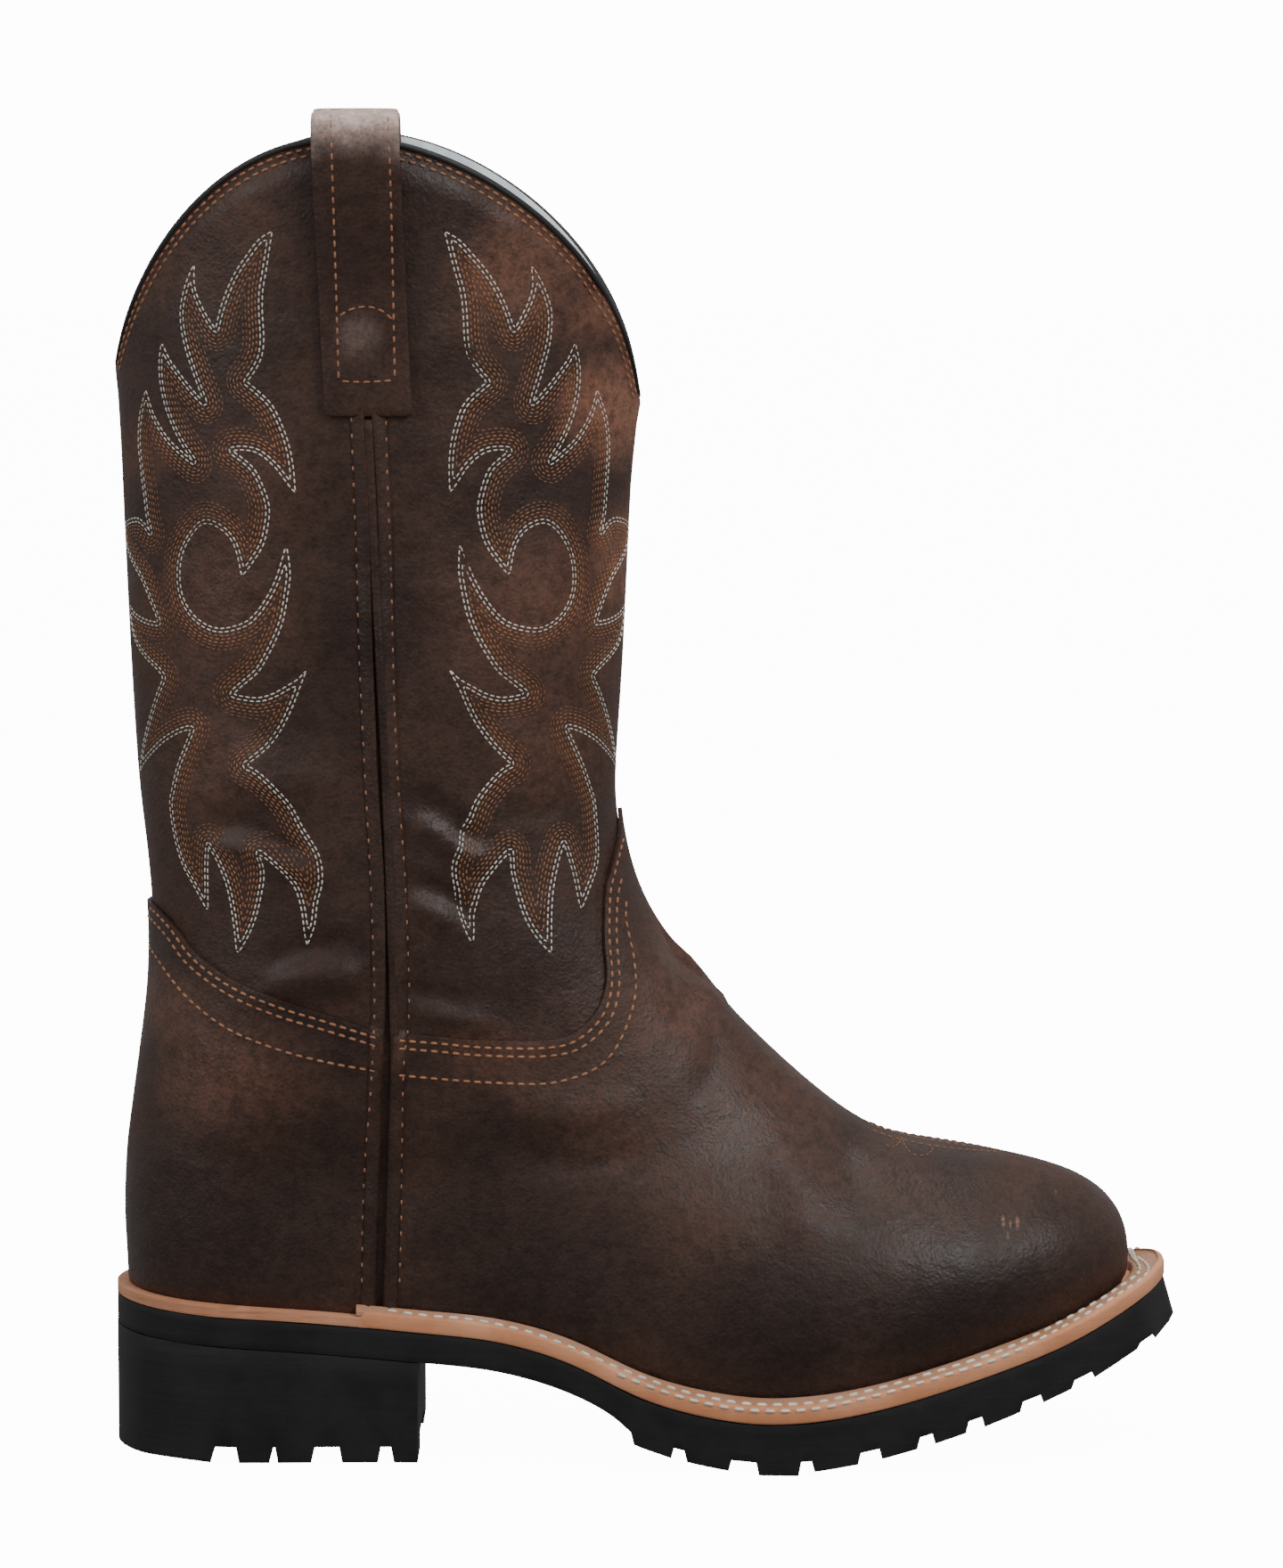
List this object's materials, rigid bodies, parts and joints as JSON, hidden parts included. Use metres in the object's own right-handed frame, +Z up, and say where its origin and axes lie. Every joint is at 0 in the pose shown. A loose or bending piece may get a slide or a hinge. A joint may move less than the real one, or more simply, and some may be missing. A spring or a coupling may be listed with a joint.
{
  "type": "western work boot",
  "caption": "Pull-on western work boot with a scalloped collar, pull straps, stitched shaft, broad rounded toe, welt and lugged rubber sole with a separate heel.",
  "frame": {"origin": "middle of the heel's tread, on the floor", "axes": "+X towards the toe, -Y the outer side of this right boot, +Z up the shaft"},
  "size_m": [0.31, 0.1153, 0.3892],
  "materials": {
    "shaft_leather": "oiled, worn, fine grain",
    "foot_leather": "oiled, scuffed, fine grain",
    "sole_rubber": "matt moulded",
    "midsole_leather": "smooth trimmed edge",
    "welt_leather": "smooth, stitched in white",
    "insole_board": "matt",
    "black_trim": "satin"
  },
  "bodies": {
    "root": {"upper": "shaft_leather", "vamp": "foot_leather", "counter": "foot_leather", "outsole": "sole_rubber", "heel": "sole_rubber", "midsole": "midsole_leather", "welt": "welt_leather", "insole": "insole_board", "collar_binding": "black_trim", "side_piping_outer": "black_trim", "side_piping_inner": "black_trim", "pull_strap_outer": "shaft_leather", "pull_strap_inner": "shaft_leather"}
  },
  "joints": []
}
